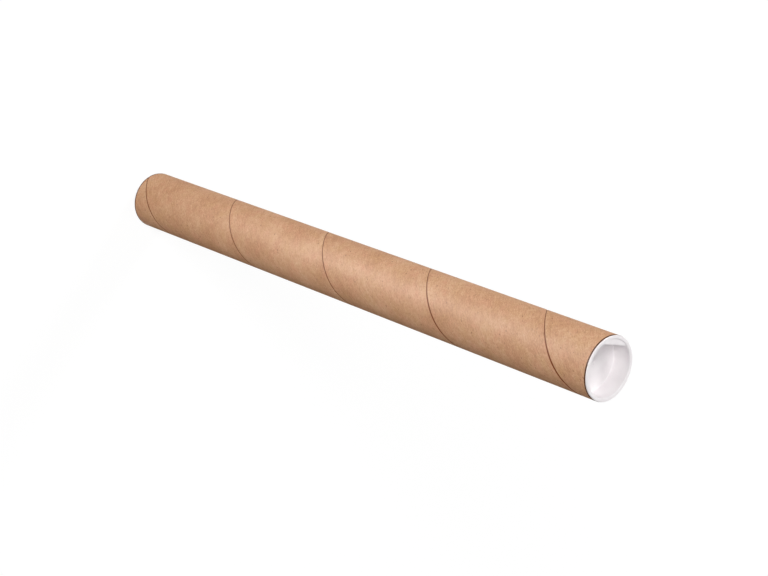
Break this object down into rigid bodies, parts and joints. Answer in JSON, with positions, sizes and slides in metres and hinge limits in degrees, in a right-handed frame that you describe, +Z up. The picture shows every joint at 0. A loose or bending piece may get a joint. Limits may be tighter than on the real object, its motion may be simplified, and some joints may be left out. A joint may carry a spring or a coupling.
{
  "type": "cardboard mailing tube",
  "caption": "Long round spiral-wound kraft paper tube for posting rolled papers, closed by a white recessed plug cap pressed into each end.",
  "frame": {"origin": "on the tube's axis, at the bottom cap's flange face that the tube stands on", "axes": "+Z up along the tube's axis, from the bottom cap to the top cap"},
  "size_m": [0.0554, 0.0554, 0.6122],
  "materials": {
    "kraft_paper": "matte brown kraft paper with fine fibres",
    "white_plastic": "semi-gloss moulded white polyethylene"
  },
  "bodies": {
    "tube": {"paper_tube": "kraft_paper"},
    "top_plug": {"top_cap": "white_plastic"},
    "bottom_plug": {"bottom_cap": "white_plastic"}
  },
  "joints": [
    {"name": "top_cap_pull", "type": "slide", "parent": "tube", "child": "top_plug", "axis": [0, 0, 1], "range_m": [0, 0.02]},
    {"name": "bottom_cap_pull", "type": "slide", "parent": "tube", "child": "bottom_plug", "axis": [0, 0, -1], "range_m": [0, 0.02]}
  ]
}
